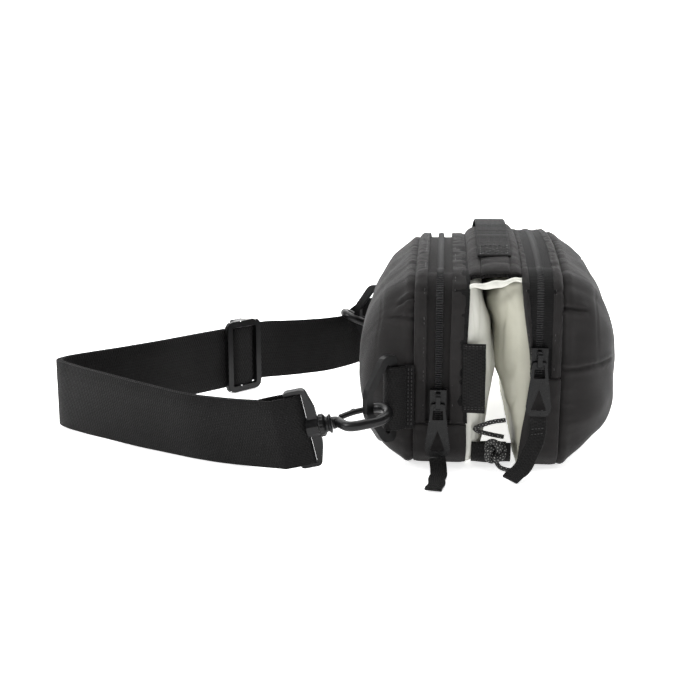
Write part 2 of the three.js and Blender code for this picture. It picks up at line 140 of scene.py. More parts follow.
def outward_normals(line):
    return [Vector((0, *outward(s))) for s in line]


def around(count, start=0.0, stop=ROUND):
    return [start + (stop - start) * i / count for i in range(count + 1)]


def crown_puff(x, s):
    """How far the stuffing lifts the top between the corners, more in the front half than in the back one."""
    middle = math.sin(math.pi * share(near_height(112), far_height(112), s))
    return middle ** 0.8 * (2.2 + 4.0 * smooth_step(BACK["inner"], FRONT["inner"], x))


def on_outline(x, s, offset):
    y, z = outline_at(s)
    ny, nz = outward(s)
    offset += crown_puff(x, s)
    return (x, y + ny * offset, z + nz * offset)


def inner_bow(half, s):
    """How far the sleeve pushes a half's inner edge aside."""
    push, height, width = half["bow"]
    return push * bump(s, near_height(height), width)


def inner_edge(half, s):
    return half["inner"] + inner_bow(half, s)


# ---- Mesh helpers ----
def add_object(name, data):
    added = bpy.data.objects.new(name, data)
    bpy.context.scene.collection.objects.link(added)
    return added


def make_mesh(name, points, faces, material, uvs=None):
    mesh = bpy.data.meshes.new(name)
    mesh.from_pydata([to_frame(p) for p in points], [], faces)
    if uvs:
        layer = mesh.uv_layers.new(name="cloth")
        for loop in mesh.loops:
            u, v = uvs[loop.vertex_index]
            layer.data[loop.index].uv = (u * MM, v * MM)
    mesh.shade_smooth()
    mesh.materials.append(material)
    return add_object(name, mesh)


def make_grid(name, rows, material, uvs, ring=False, closed=False, capped=False):
    """A sheet from rows of points. ring joins each row's ends, closed joins the last row to the first,
    and capped fills the open ends."""
    count, length = len(rows[0]), len(rows)
    rim = count if ring else count - 1
    faces = []
    for i in range(length if closed else length - 1):
        low, high = i * count, (i + 1) % length * count
        for j in range(rim):
            k = (j + 1) % count
            faces.append((low + j, low + k, high + k, high + j))
    if capped:
        last = (length - 1) * count
        faces += [tuple(range(rim - 1, -1, -1)), tuple(range(last, last + rim))]
    points, flat_uvs = [p for row in rows for p in row], [uv for row in uvs for uv in row]
    return make_mesh(name, points, faces, material, flat_uvs)


def thicken(piece, thickness):
    modifier = piece.modifiers.new("thickness", "SOLIDIFY")
    modifier.thickness = thickness * MM
    modifier.offset = -1.0
    modifier.use_even_offset = False
    return piece


def soften(piece, width, segments):
    """Rounds a hard piece's edges."""
    modifier = piece.modifiers.new("edges", "BEVEL")
    modifier.width = width * MM
    modifier.segments = segments
    modifier.limit_method = "ANGLE"
    modifier.angle_limit = math.radians(38)
    modifier.harden_normals = True


def mend(piece, change):
    """Makes one change to a finished mesh and turns its faces outward."""
    edit = bmesh.new()
    edit.from_mesh(piece.data)
    change(edit)
    bmesh.ops.recalc_face_normals(edit, faces=edit.faces)
    edit.to_mesh(piece.data)
    edit.free()


def weld(piece, distance=0.35):
    """Joins points that meet, such as a panel's two edges on its middle line."""
    mend(piece, lambda edit: bmesh.ops.remove_doubles(edit, verts=edit.verts, dist=distance * MM))
    piece.data.shade_smooth()


def cap_ends(piece):
    mend(piece, lambda edit: bmesh.ops.holes_fill(
        edit, edges=[e for e in edit.edges if e.is_boundary], sides=0))


BOTH_HALVES = "both halves"


def settle(piece, body, slot, *replaced):
    """Puts a finished piece on its body, in place of CAD nodes, which it hides. Its slot is not used. A piece
    on both halves has its place baked into its mesh and is put on no body."""
    if body == BOTH_HALVES:
        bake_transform(piece)
    else:
        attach(piece, body)
    if replaced:
        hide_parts(*replaced)


def smooth_route(points, step=2.0):
    """Points every step along a centripetal curve through the given ones."""
    stops = [Vector(p) for p in points]
    stops = [2 * stops[0] - stops[1]] + stops + [2 * stops[-1] - stops[-2]]
    fine = []
    for a, b, c, d in zip(stops, stops[1:], stops[2:], stops[3:]):
        first, middle, last = (max(1e-4, (q - p).length) ** 0.5 for p, q in ((a, b), (b, c), (c, d)))
        start = ((b - a) / first - (c - a) / (first + middle) + (c - b) / middle) * middle
        end = ((c - b) / middle - (d - b) / (middle + last) + (d - c) / last) * middle
        for i in range(24):
            t = i / 24
            fine.append(b * (1 + t * t * (2 * t - 3)) + start * (t * (1 - t) ** 2)
                        + c * (t * t * (3 - 2 * t)) + end * (t * t * (t - 1)))
    fine.append(stops[-2])
    route, left = [fine[0]], step
    for a, b in zip(fine, fine[1:]):
        length = (b - a).length
        while length >= left:
            a = a + (b - a) * (left / length)
            route.append(a)
            length -= left
            left = step
        left -= length
    if (route[-1] - fine[-1]).length > 0.3 * step:
        route.append(fine[-1])
    return route


def tangents(route, closed=False):
    count = len(route)
    if closed:
        return [(route[(i + 1) % count] - route[i - 1]).normalized() for i in range(count)]
    return [(route[min(i + 1, count - 1)] - route[max(i - 1, 0)]).normalized() for i in range(count)]


def lengths(route):
    """How far along a route each of its points is."""
    along = [0.0]
    for a, b in zip(route, route[1:]):
        along.append(along[-1] + (b - a).length)
    return along


def make_ribbon(name, route, width, thickness, ups, material, body, *replaced, crown=0.0):
    """Webbing along a route: a flat section with rounded selvedges. ups has each point's width direction."""
    half, edge = width / 2, thickness / 2
    bevel, shoulder, top = half - edge * 0.6, half * 0.5, edge + crown
    section = [(-bevel, edge), (-shoulder, top), (0, top), (shoulder, top), (bevel, edge), (half, edge * 0.45),
               (half, -edge * 0.45), (bevel, -edge), (shoulder, -edge), (0, -edge), (-shoulder, -edge),
               (-bevel, -edge), (-half, -edge * 0.45), (-half, edge * 0.45), (-bevel, edge)]
    rows = []
    for centre, direction, up in zip(route, tangents(route), ups):
        up = (up - direction * up.dot(direction)).normalized()
        side = direction.cross(up).normalized()
        rows.append([centre + up * v + side * w for v, w in section])
    uvs = [[(along, v) for v, w in section] for along in lengths(route)]
    settle(make_grid(name, rows, material, uvs, capped=True), body, "webbing", *replaced)


def make_tube(name, route, radius_at, material, body, slot, *replaced, sides=12, closed=False):
    """A round cord or bar along a route, without twist. Its radius is a number or a function of i."""
    directions = tangents(route, closed)
    normal = directions[0].orthogonal().normalized()
    turns = [2 * math.pi * j / sides for j in range(sides)]
    rows, uvs = [], []
    for i, (centre, direction, along) in enumerate(zip(route, directions, lengths(route))):
        normal = (normal - direction * normal.dot(direction)).normalized()
        other = direction.cross(normal)
        radius = radius_at(i) if callable(radius_at) else radius_at
        rows.append([centre + normal * (radius * math.cos(a)) + other * (radius * math.sin(a)) for a in turns])
        uvs.append([(along, radius * a) for a in turns])
    piece = make_grid(name, rows, material, uvs, ring=True, closed=closed, capped=not closed)
    settle(piece, body, slot, *replaced)
    return piece


def make_stitches(name, seams, body, slot="softshell", length=2.4, pitch=3.2):
    """Rows of thread, one small lens per stitch, sunk half into the cloth. seams holds (points, normals)."""
    points, faces = [], []
    radius = 0.32
    ring = [(1, 0), (0.5, 0.87), (-0.5, 0.87), (-1, 0), (-0.5, -0.87), (0.5, -0.87)]
    for route, normals in seams:
        along, due = 0.0, pitch / 2
        for i in range(len(route) - 1):
            a, b = Vector(route[i]), Vector(route[i + 1])
            span = (b - a).length
            while span > 1e-6 and due <= along + span:
                centre = a + (b - a) * ((due - along) / span)
                direction, up = (b - a) / span, Vector(normals[i])
                side = direction.cross(up)
                base = len(points)
                points.append(centre - direction * length / 2 - up * radius * 0.4)
                for reach in (-0.28, 0.28):
                    middle = centre + direction * reach * length
                    points.extend(middle + side * radius * c + up * radius * 0.8 * d for c, d in ring)
                points.append(centre + direction * length / 2 - up * radius * 0.4)
                for j in range(6):
                    k = (j + 1) % 6
                    faces.append((base, base + 1 + k, base + 1 + j))
                    faces.append((base + 1 + j, base + 1 + k, base + 7 + k, base + 7 + j))
                    faces.append((base + 7 + j, base + 7 + k, base + 13))
                due += pitch
            along += span
    settle(make_mesh(name, points, faces, THREAD), body, slot)


# ---- Materials ----
class Finish:
    """A material's node tree, with short names for the nodes that the finishes share."""

    def __init__(self, name, roughness, specular=0.5, sheen=0.0, sheen_roughness=0.5, coat=0.0):
        self.material = bpy.data.materials.new(name)
        self.material.use_nodes = True
        self.tree = self.material.node_tree
        self.shader = self.tree.nodes["Principled BSDF"]
        fixed = {"Roughness": roughness, "Specular IOR Level": specular, "Sheen Weight": sheen,
                 "Sheen Roughness": sheen_roughness, "Coat Weight": coat}
        for socket, value in fixed.items():
            self.shader.inputs[socket].default_value = value

    def node(self, kind, settings=None, **inputs):
        made = self.tree.nodes.new(kind)
        for key, value in (settings or {}).items():
            setattr(made, key, value)
        for key, value in inputs.items():
            socket = made.inputs[int(key[1:])] if key[1:].isdigit() else made.inputs[key.replace("_", " ")]
            if isinstance(value, bpy.types.NodeSocket):
                self.tree.links.new(value, socket)
            else:
                socket.default_value = value
        return made

    def place(self, kind="Object"):
        return self.node("ShaderNodeTexCoord").outputs[kind]

    def cloth(self):
        """The piece's two cloth coordinates."""
        return self.node("ShaderNodeSeparateXYZ", i0=self.place("UV")).outputs[0:2]

    def math(self, operation, a, b=0.0):
        return self.node("ShaderNodeMath", {"operation": operation}, i0=a, i1=b).outputs[0]

    def sum(self, a, a_share, b, b_share):
        return self.math("ADD", self.math("MULTIPLY", a, a_share), self.math("MULTIPLY", b, b_share))

    def wave(self, value, period):
        """From -1 to 1 over each period of a coordinate in metres."""
        return self.math("SINE", self.math("MULTIPLY", value, 2 * math.pi / period))

    def ribs(self, value, period):
        return self.math("ABSOLUTE", self.wave(value, period))

    def above(self, value, limit):
        return self.math("GREATER_THAN", value, limit)

    def noise(self, vector, size, detail=3.0, roughness=0.55):
        return self.node("ShaderNodeTexNoise", i0=vector, Scale=1 / size, Detail=detail,
                         Roughness=roughness).outputs["Fac"]

    def stretch(self, vector, x, y, z):
        return self.node("ShaderNodeMapping", Vector=vector, Scale=(x, y, z)).outputs[0]

    def blend(self, factor, a, b):
        return self.node("ShaderNodeMix", {"data_type": "RGBA"}, i0=factor, i6=(*a, 1), i7=(*b, 1)).outputs[2]

    def between(self, value, low, high):
        return self.node("ShaderNodeMapRange", Value=value, To_Min=low, To_Max=high).outputs[0]

    def relief(self, height, distance, strength, under=None):
        extra = {"Normal": under} if under else {}
        return self.node("ShaderNodeBump", Height=height, Distance=distance * MM, Strength=strength,
                         **extra).outputs[0]

    def done(self, colour, roughness, normal):
        for value, socket in ((colour, "Base Color"), (roughness, "Roughness"), (normal, "Normal")):
            self.tree.links.new(value, self.shader.inputs[socket])
        return self.material


def weave_height(f, period):
    """Plain weave: threads that pass over and under each other."""
    across, along = f.cloth()
    warp, weft = f.ribs(across, period), f.ribs(along, period)
    checker = f.math("MULTIPLY", f.wave(across, period * 2), f.wave(along, period * 2))
    return f.node("ShaderNodeMix", i0=f.above(checker, 0.0), i2=warp, i3=weft).outputs[0]


def softshell_finish():
    """Matt dark fabric: fine weave, faint brushed fuzz and slightly paler, drier high spots."""
    f = Finish("softshell", 0.8, specular=0.16, sheen=0.1, sheen_roughness=0.4)
    space = f.place()
    patches, grain = f.noise(space, 0.05), f.noise(space, 0.0016, 2)
    colour = f.blend(f.sum(patches, 0.65, grain, 0.35), (0.0105, 0.0098, 0.0098), (0.026, 0.0242, 0.0240))
    normal = f.relief(weave_height(f, 0.0011), 0.12, 0.45, f.relief(grain, 0.25, 0.3))
    return f.done(colour, f.between(grain, 0.68, 0.9), normal)


def lining_finish(name, dark, light):
    """Cream coated nylon: smooth and a little waxy, creased finely, faintly paler and greyer in random patches.
    """
    f = Finish(name, 0.5, specular=0.42, coat=0.06)
    space = f.place()
    creases = f.noise(f.stretch(space, 1, 1.6, 0.45), 0.012, 5, 0.62)
    colour = f.blend(f.between(f.noise(space, 0.035, 4), -0.1, 1.1), dark, light)
    normal = f.relief(weave_height(f, 0.0009), 0.05, 0.35, f.relief(creases, 0.9, 0.35))
    return f.done(colour, f.between(creases, 0.38, 0.66), normal)


def webbing_finish(name, rib, light):
    """Woven webbing: ribs across it, threads along it, rib tops painted lighter and grooves darker as painted
    highlight and shade, with random lighter wear patches.
    """
    f = Finish(name, 0.68, specular=0.1, sheen=0.015)
    space = f.place()
    along, across = f.cloth()
    ribs = f.ribs(along, rib * 2)
    offset = f.math("MULTIPLY", f.above(f.wave(across, 0.0048), 0.0), rib / 2)
    chevron = f.ribs(f.math("ADD", along, offset), rib * 2)
    height = f.sum(chevron, 0.6, f.ribs(across, 0.0024), 0.4)
    fuzz, wear = f.noise(space, 0.0011, 2), f.noise(space, 0.03)
    # Colour follows the rib height: painted highlight on the rib tops and painted shade in the grooves, mixed
    # with random wear patches.
    colour = f.blend(f.sum(height, 0.5, wear, 0.4), (0.0006, 0.0006, 0.0006), light)
    normal = f.relief(height, 0.5, 0.85, f.relief(f.math("ADD", ribs, fuzz), 0.12, 0.35))
    return f.done(colour, f.between(fuzz, 0.5, 0.78), normal)


def tape_finish():
    """Zip tape: close knitted ribs along the coil."""
    f = Finish("zip_tape", 0.76, specular=0.11, sheen=0.02)
    along, across = f.cloth()
    ribs = f.ribs(across, 0.0022)
    fuzz = f.noise(f.place(), 0.0012, 2)
    height = f.math("ADD", ribs, f.math("MULTIPLY", f.ribs(along, 0.0016), 0.4))
    tone = f.math("MULTIPLY", f.math("ADD", ribs, fuzz), 0.5)
    colour = f.blend(tone, (0.0028, 0.0028, 0.003), (0.0105, 0.0102, 0.0102))
    return f.done(colour, f.between(fuzz, 0.6, 0.82), f.relief(height, 0.22, 0.6))


def coil_finish():
    """Moulded nylon zip coil, glossy on top where the slider polishes it."""
    f = Finish("zip_coil", 0.36, specular=0.42)
    scuff = f.noise(f.place(), 0.004, 4)
    colour = f.blend(scuff, (0.0035, 0.0035, 0.0038), (0.013, 0.013, 0.0136))
    return f.done(colour, f.between(scuff, 0.26, 0.5), f.relief(scuff, 0.05, 0.4))


def plastic_finish():
    """Black acetal: satin, fine mould grain, faint scuffs along the faces."""
    f = Finish("plastic", 0.3, specular=0.26, coat=0.03)
    space = f.place()
    scuff = f.noise(f.stretch(space, 1, 1, 3), 0.012, 6, 0.68)
    colour = f.blend(scuff, (0.002, 0.002, 0.0022), (0.007, 0.007, 0.0074))
    normal = f.relief(f.noise(space, 0.0007, 2), 0.05, 0.35, f.relief(scuff, 0.12, 0.18))
    return f.done(colour, f.between(scuff, 0.22, 0.46), normal)


def metal_finish():
    """Black-plated zinc: dark, glossy, with fine polishing marks and thin bright wear."""
    f = Finish("black_metal", 0.16, specular=0.2)
    space = f.place()
    marks = f.noise(f.stretch(space, 1, 1, 6), 0.003, 5, 0.6)
    worn = f.above(f.noise(space, 0.006, 5, 0.7), 0.66)
    colour = f.blend(f.sum(marks, 0.3, worn, 0.5), (0.0015, 0.0015, 0.0016), (0.02, 0.02, 0.021))
    return f.done(colour, f.between(marks, 0.14, 0.36), f.relief(marks, 0.04, 0.35))


def cord_finish():
    """Braided shock cord: two strands over two, black with pale fleck strands."""
    f = Finish("cord", 0.6, specular=0.38, sheen=0.08)
    along, round_it = f.cloth()
    leaning = f.math("ADD", along, round_it)
    right = f.wave(f.math("SUBTRACT", along, round_it), 0.0026)
    braid = f.math("ABSOLUTE", f.math("MULTIPLY", f.wave(leaning, 0.0026), right))
    fleck = f.above(f.math("MULTIPLY", f.wave(leaning, 0.0052), right), 0.72)
    colour = f.blend(fleck, (0.006, 0.006, 0.0062), (0.36, 0.36, 0.34))
    return f.done(colour, f.between(braid, 0.5, 0.7), f.relief(braid, 0.3, 0.7))


def thread_finish():
    """Twisted bonded thread, a little glossier than the cloth it sews."""
    f = Finish("thread", 0.42)
    twist = f.noise(f.place(), 0.0006, 1)
    colour = f.blend(twist, (0.008, 0.008, 0.0082), (0.034, 0.0335, 0.033))
    return f.done(colour, f.between(twist, 0.34, 0.55), f.relief(twist, 0.08, 0.5))


SOFTSHELL = softshell_finish()
LINING = lining_finish("lining", (0.56, 0.56, 0.50), (0.80, 0.80, 0.74))
# The front cushion's copy of the lining is darker and yellower: painted shade for the shade that cushion sits
# in.
PAINTED_SHADE_LINING = lining_finish("painted_shade_lining", (0.34, 0.335, 0.27), (0.54, 0.53, 0.44))
WEBBING = webbing_finish("webbing", 0.0019, (0.0125, 0.0122, 0.0122))
RIBBED = webbing_finish("ribbed_webbing", 0.0021, (0.021, 0.0205, 0.0205))
TAPE, COIL, PLASTIC, METAL = tape_finish(), coil_finish(), plastic_finish(), metal_finish()
CORD, THREAD = cord_finish(), thread_finish()


# ---- Padded outer panels ----
def gathers(s, depth, seed):
    """Short folds along a sewn edge, uneven in pitch and length, fading away from the seam."""
    wave = ripple(s * 0.13, 0, seed) + 0.7 * ripple(s * 0.31, 2, seed)
    length = 7.0 * (1 + 0.7 * ripple(s * 0.07, 5, seed))
    return wave * math.exp(-depth / length)


def corner_pleats(s, depth, seed):
    """Deeper folds where the panel is eased round the two top corners."""
    near = bump(s, near_height(104), 30) + 0.5 * bump(s, near_height(40), 26)
    far = bump(s, far_height(104), 30)
    wave = ripple(s * 0.085, depth * 0.02, seed + 1) + 0.6 * ripple(s * 0.19, depth * 0.03, seed + 2)
    return (near + 0.7 * far) * wave * math.exp(-depth / 20)


DOME_EDGE, DOME_INSET, MIDDLE = 0.72, 46, END_HEIGHT / 2


def dome_point(half, s, part, shape):
    """A point on the outer panel: part 0 at the seam, 1 on the middle line of the crown."""
    y, z = outline_at(s)
    depth = half["outer"] - half["seam"]
    angle = min(1.0, part / DOME_EDGE) * 0.5 * math.pi
    power = 1 + shape["top"] * smooth_step(58, 128, z) + shape["base"] * smooth_step(40, 0, z)
    out = math.sin(angle) ** power
    inset = DOME_INSET * (1 - math.cos(angle)) + 17.5 * max(0.0, (part - DOME_EDGE) / (1 - DOME_EDGE)) ** 0.9
    swell = 1.6 * smooth_step(0.6, 1.0, part)
    x = half["seam"] + depth * out + math.copysign(swell, depth)
    puff = crown_puff(x, s) * (1 - smooth_step(0.1, 0.8, part))
    sag = 5 * min(1.0, inset / DOME_INSET)
    height = MIDDLE - sag + (z - MIDDLE) * (1 - inset / MIDDLE)
    return Vector((x, y * (1 - inset / HALF_LENGTH), height + puff))


def grid_normals(rows):
    """The direction across the cloth at each point, from its four neighbours."""
    for i, row in enumerate(rows):
        below, above = rows[min(len(rows) - 1, i + 1)], rows[max(0, i - 1)]
        yield [(row[min(len(row) - 1, j + 1)] - row[max(0, j - 1)]).cross(below[j] - above[j]).normalized()
               for j in range(len(row))]


def spread_flat(rows, reach):
    """Cloth coordinates that keep the weave level: each point at its true distance from the middle line."""
    uvs = []
    for distances in reach:
        line = []
        for edge, apex, distance, whole in zip(rows[0], rows[-1], distances, reach[-1]):
            away, left = Vector((edge.y - apex.y, edge.z - apex.z)).normalized(), whole - distance
            line.append((apex.y + away.x * left, apex.z + away.y * left))
        uvs.append(line)
    return uvs


def panel_drape(point, part, seed):
    """Broad waves and soft creases across the panel's face."""
    waves = 1.9 * ripple(point.y * 0.021 + 4, point.z * 0.026, seed) + 1.05 * ripple(
        point.y * 0.055, point.z * 0.048 + point.y * 0.02, seed + 2)
    line = ripple(point.y * 0.014 + point.z * 0.02, point.z * 0.009, seed + 5)
    crease = 1.1 * smooth_step(0.4, 0.02, abs(line - 0.1))
    return waves - crease * bump(part, 0.45, 0.28)


def make_outer_panel(half, shape):
    side, seam = half["side"], half["seam"]
    columns, rings = 520, 64
    stations = around(columns)
    parts = [(i / rings) ** 1.12 for i in range(rings + 1)]
    rows = [[dome_point(half, s, part, shape) for s in stations] for part in parts]
    rows[-1] = [Vector((p.x, 1.5 * round(p.y / 1.5), p.z)) for p in rows[-1]]
    reach = [[0.0] * (columns + 1)]
    for before, after in zip(rows, rows[1:]):
        reach.append([r + (q - p).length for r, p, q in zip(reach[-1], before, after)])
    uvs = spread_flat(rows, reach)
    moved = []
    for part, row, normals, depths in zip(parts, rows, grid_normals(rows), reach):
        flat = smooth_step(0.5, 0.78, part)
        line = []
        for s, point, normal, depth in zip(stations, row, normals, depths):
            inward = normal.x * side < 0 and abs(normal.x) > 0.2
            if inward or normal.dot(point - Vector((seam, 0, 62))) < 0:
                normal = -normal
            normal = normal.lerp(Vector((side, 0, 0)), flat)
            lift = panel_drape(point, part, side) * smooth_step(2, 16, depth)
            if part < 1:
                roll = -1.7 * math.exp(-(depth / 1.9) ** 2) + 0.9 * bump(depth, 5.0, 3.2)
                folds = 1.1 * gathers(s, depth, seam) * smooth_step(0, 2, depth) + 2.3 * corner_pleats(
                    s, depth, seam)
                lift = roll + folds + lift + sum(sewn(s, depth, point) for sewn in shape["seams"])
            place = point + normal * lift
            line.append(Vector((place.x, place.y, max(0.1, place.z))))
        moved.append(line)
    piece = make_grid(half["name"] + "_padded_panel", moved, SOFTSHELL, uvs)
    weld(piece, 0.02)
    settle(piece, half["body"], "softshell", half["name"] + "_outer_panel")


# ---- Strips round the outline: zip panels, base panels and the bridge ----
def make_strip(name, x0, x1, start, stop, profile, thickness, across, material=SOFTSHELL):
    """A band of cloth on the outline. profile(u, s) gives its lift in millimetres, with u from 0 to 1 across.
    Its edges x0 and x1 are numbers, or functions of s."""
    stations = around(max(8, int((stop - start) / 1.5)), start, stop)
    edges = [[edge(s) if callable(edge) else edge for edge in (x0, x1)] for s in stations]
    steps = range(across + 1)
    rows = [[on_outline(left + (right - left) * j / across, s, profile(j / across, s)) for j in steps]
            for s, (left, right) in zip(stations, edges)]
    left, right = edges[0]
    uvs = [[((right - left) * j / across, s) for j in steps] for s in stations]
    if right > left:
        rows, uvs = [row[::-1] for row in rows], [row[::-1] for row in uvs]
    return thicken(make_grid(name, rows, material, uvs), thickness)


def strip_profile(crown, seed, outer_edge, inner_edge):
    """Rolled down at sewn edges, raised at a folded edge, padded between, and gathered by its stitching."""

    def lift(u, s):
        edges = outer_edge * math.exp(-(u / 0.16) ** 2), inner_edge * math.exp(-((1 - u) / 0.16) ** 2)
        body = crown * 4 * u * (1 - u)
        gather = 0.62 * (ripple(s * 0.16, u * 1.2, seed) + 0.7 * ripple(s * 0.42, u * 2, seed + 3))
        seam = 1.1 * (bump(s, near_height(118), 1.3) + bump(s, far_height(118), 1.3))
        ridge = 0.55 * (bump(s, near_height(118) + 3.5, 2.4) + bump(s, far_height(118) - 3.5, 2.4))
        return 0.8 + body + edges[0] + edges[1] + gather - seam + ridge

    return lift


def make_zip_panel(half):
    """Two strips with folded edges that lie on the zip tape, and a plain stretch past the zip's far stop."""
    side, name, body = half["side"], half["name"], half["body"]
    start, stop = half["zip_span"]
    seam = half["seam"] - side * 0.2
    outer_fold = half["zip"] + side * TAPE_HALF

    def bowed_edge(s):
        return inner_edge(half, s)

    def inner_fold(s):
        return half["zip"] - side * TAPE_HALF + 0.62 * inner_bow(half, s)

    def strip(part, x0, x1, profile, across):
        piece = make_strip(name + "_zip_" + part, x0, x1, start, stop, profile, 0.8, across)
        settle(piece, body, "softshell")

    strip("strip_outer", seam, outer_fold, strip_profile(0.7, side + 1, -1.6, 0.6), 10)
    strip("strip_inner", bowed_edge, inner_fold, strip_profile(0.8, side + 4, -1.0, 0.6), 10)
    rest = make_strip(name + "_zip_panel_end", seam, half["inner"], stop - 3, far_height(half["split"] + 0.6),
                      strip_profile(0.9, side + 7, -1.6, -1.2), 1.0, 20)
    settle(rest, body, "softshell", name + "_zip_panel")
    strip("lining", seam, bowed_edge, lambda u, s: -1.5, 6)
    line = around(int((stop - start) / 2), start + 1, stop - 3)
    normals = outward_normals(line)
    seams = [([on_outline(outer_fold + side * 1.7, s, 1.85) for s in line], normals),
             ([on_outline(inner_fold(s) - side * 1.7, s, 1.85) for s in line], normals)]
    make_stitches(name + "_zip_stitching", seams, body)


def base_profile(seed):
    """Pressed flat on the table, padded and puckered up the ends, rolled in at both sides."""

    def lift(u, s):
        flat = 1 - smooth_step(near_height(3), near_height(14), s) if s < ROUND / 2 else smooth_step(
            far_height(14), far_height(3), s)
        edge = math.exp(-(u / 0.07) ** 2) + math.exp(-((1 - u) / 0.07) ** 2)
        gather = 0.5 * ripple(s * 0.12, u * 1.5, seed) + 0.35 * ripple(s * 0.3, u * 5, seed + 2)
        return (1.0 + 1.3 * 4 * u * (1 - u) + gather) * (1 - flat) - 1.3 * flat - 1.5 * edge * (1 - 0.6 * flat)

    return lift


def make_base_panel(half):
    side, name, body = half["side"], half["name"], half["body"]
    seam, split = half["seam"] - side * 0.2, half["split"] - 0.4
    near = make_strip(name + "_base_near", seam, lambda s: inner_edge(half, s), 0.0, near_height(split),
                      base_profile(side), 1.2, 22)
    far = make_strip(name + "_base_far", seam, half["inner"], far_height(split), ROUND,
                     base_profile(side + 5), 1.2, 22)
    settle(near, body, "softshell", name + "_base_panel")
    settle(far, body, "softshell")


def make_seam_band(name, x0, x1, s, body):
    """A cross seam: the upper strip's folded edge standing over the lower panel."""
    width, folds, across = 2.4, 6, 14
    rows, uvs = [], []
    for k in range(folds + 1):
        along = s + (k / folds - 0.3) * width
        lift = 2.0 * math.sin(math.pi * min(1.0, k / folds * 1.15)) ** 0.6 - 0.3 if k < folds else 0.6
        rows.append([on_outline(x0 + (x1 - x0) * j / across, along, 0.6 + 0.75 * lift + 0.25 * ripple(j, s))
                     for j in range(across + 1)])
        uvs.append([((x1 - x0) * j / across, along) for j in range(across + 1)])
    piece = thicken(make_grid(name, rows, SOFTSHELL, uvs), 0.6)
    weld(piece)
    settle(piece, body, "softshell")


# ---- Zips ----
def make_zip(half):
    name, body, x = half["name"], half["body"], half["zip"]
    start, stop = half["zip_span"]
    low, high = x - TAPE_HALF - 1.5, x + TAPE_HALF + 1.5
    tape = make_strip(name + "_zip_tape_knit", lambda s: max(low, inner_edge(half, s) + 1.2), high, start, stop,
                      lambda u, s: 1.1 + 0.45 * bump(u, 0.5, 0.13), 0.7, 18, TAPE)
    settle(tape, body, "zip_tape", name + "_zip_tape")
    points, faces = [], []
    pitch = 1.5
    tooth = ((-0.55, 2.35, 1.3), (-0.5, 2.2, 2.35), (0.0, 2.3, 2.75), (0.5, 2.2, 2.35), (0.55, 2.35, 1.3))
    for i in range(int((stop - start - 5) / pitch)):
        s = start + 3 + i * pitch
        lean = 0.22 if i % 2 else -0.22
        base = len(points)
        for along, half_width, lift in tooth:
            for k in range(5):
                across = -half_width + half_width * k / 2
                drop = 0.55 * (abs(k - 2) / 2) ** 2
                points.append(on_outline(x + across, s + along + lean * across * 0.12, lift - drop))
        corners = [base + r * 5 + k for r in range(4) for k in range(4)]
        faces += [(a, a + 5, a + 6, a + 1) for a in corners]
        faces.append(tuple(base + k for k in (0, 1, 2, 3, 4, 24, 23, 22, 21, 20)))
    coil = make_mesh(name + "_coil_teeth", points, faces, COIL)
    settle(coil, body, "zip_coil", name + "_zip_coil")


# ---- Sleeve cushions ----
def make_cushion(half):
    """The cream side of the sleeve: a crowned pad that bulges high and falls away towards the table."""
    side, seed = half["side"], half["inner"]
    columns, rings, edge = 360, 44, 0.62
    stations = around(columns)
    start = half["inner"] - side * 0.3
    depth = half["cushion"] - start
    rows = []
    for i in range(rings + 1):
        part = i / rings
        angle = min(1.0, part / edge) * 0.5 * math.pi
        out, fall = math.sin(angle), 1 - math.cos(angle)
        inset = 1.0 + 31 * fall + 30.5 * max(0.0, (part - edge) / 0.38)
        line = []
        for s in stations:
            y, z = outline_at(s)
            held = 0.74 + 0.26 * bump(z, 50, 26) if half is BACK else 0.1 + 0.9 * smooth_step(0, 56, z)
            reach = depth * out * held - 5 * out * smooth_step(90, 125, z)
            x = start + reach + inner_bow(half, s) * (1 - out)
            height = MIDDLE + 17 * fall + (z - MIDDLE) * (1 - inset / MIDDLE)
            line.append(Vector((x, y * (1 - inset / HALF_LENGTH), height)))
        rows.append(line)
    uvs = [[(p.y, p.z + p.x) for p in row] for row in rows]
    moved = []
    for i, (row, normals) in enumerate(zip(rows[:-1], grid_normals(rows))):
        line = []
        for s, point, normal in zip(stations, row, normals):
            if normal.dot(point - Vector((start + side * 6, 0, 66))) < 0:
                normal = -normal
            soft = ripple(point.z * 0.035, point.y * 0.03 + point.x * 0.05, seed)
            fold = ripple(point.z * 0.022 + 3, point.x * 0.16 + point.y * 0.05, seed + 3)
            sharp = max(0.0, 1 - 6 * abs(fold)) * smooth_step(1, 8, i)
            lift = 0.9 * soft - 1.1 * sharp + 0.5 * gathers(s, i * 1.6, seed)
            line.append(point + normal * lift * smooth_step(0, 3, i))
        moved.append(line)
    # The front cushion gets the darker copy of the lining, painted shade.
    material = LINING if half is BACK else PAINTED_SHADE_LINING
    piece = make_grid(half["name"] + "_sleeve_lining", moved + [rows[-1]], material, uvs)
    weld(piece)
    settle(piece, half["body"], "lining", half["name"] + "_sleeve_cushion")


# ---- Centre: bridge, handle, hem, pull tab, bottom strip and shock cord ----
WALL_TOP = END_HEIGHT - TOP_CORNER
BRIDGE_START, BRIDGE_STOP = near_height(WALL_TOP) + 24, far_height(WALL_TOP) - 24
BRIDGE_LOW, BRIDGE_HIGH = BACK["inner"] + 0.3, FRONT["inner"] - 0.3


